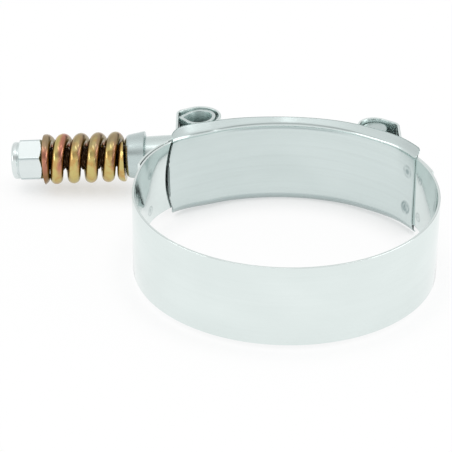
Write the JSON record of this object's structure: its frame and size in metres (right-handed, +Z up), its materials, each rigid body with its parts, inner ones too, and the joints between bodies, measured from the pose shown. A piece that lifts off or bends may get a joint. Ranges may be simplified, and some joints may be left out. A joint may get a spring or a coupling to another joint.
{
  "type": "spring-loaded t-bolt hose clamp",
  "caption": "Round band clamp with folded loops, flared bridge plate, T-bolt, trunnion, coil spring and lock nut, for a hose or duct joint.",
  "frame": {"origin": "middle of the floor under the whole clamp, at the lower end of the trunnion's tube", "axes": "+Z up along the hose's axis, +X along the bolt from the nut to the T-head, +Y from the ring to the bolt"},
  "size_m": [0.105, 0.0808, 0.0243],
  "materials": {
    "stainless_strip": "bright rolled stainless strip, fine lines along its length",
    "drawn_steel": "satin drawn stainless steel",
    "bright_zinc": "bright zinc plating",
    "yellow_chromate": "yellow chromate over zinc, with gold, olive and rose colours",
    "natural_nylon": "natural nylon"
  },
  "bodies": {
    "band": {"band": "stainless_strip", "bridge_plate": "stainless_strip"},
    "bolt": {"t_bolt": "drawn_steel", "trunnion": "drawn_steel", "spring_cup": "drawn_steel"},
    "spring": {"spring": "yellow_chromate"},
    "nut": {"lock_nut": "bright_zinc", "nylon_insert": "natural_nylon"}
  },
  "joints": [
    {"name": "bolt_rock", "type": "hinge", "parent": "band", "child": "bolt", "pos_m": [0.00653, 0.03402, 0.01145], "axis": [0, 1, 0], "range_deg": [0, 3.8]},
    {"name": "nut_travel", "type": "slide", "parent": "bolt", "child": "spring", "axis": [0.9978, 0, 0.0663], "range_m": [0, 0.0045], "deforming": ["spring"]},
    {"name": "nut_turn", "type": "hinge", "parent": "spring", "child": "nut", "pos_m": [-0.04444, 0.03402, 0.00806], "axis": [0.9978, 0, 0.0663], "range_deg": [0, 1620.5]}
  ],
  "couplings": [
    {"joint": "nut_turn", "follows": "nut_travel", "rad_per_m": 6283.2}
  ]
}
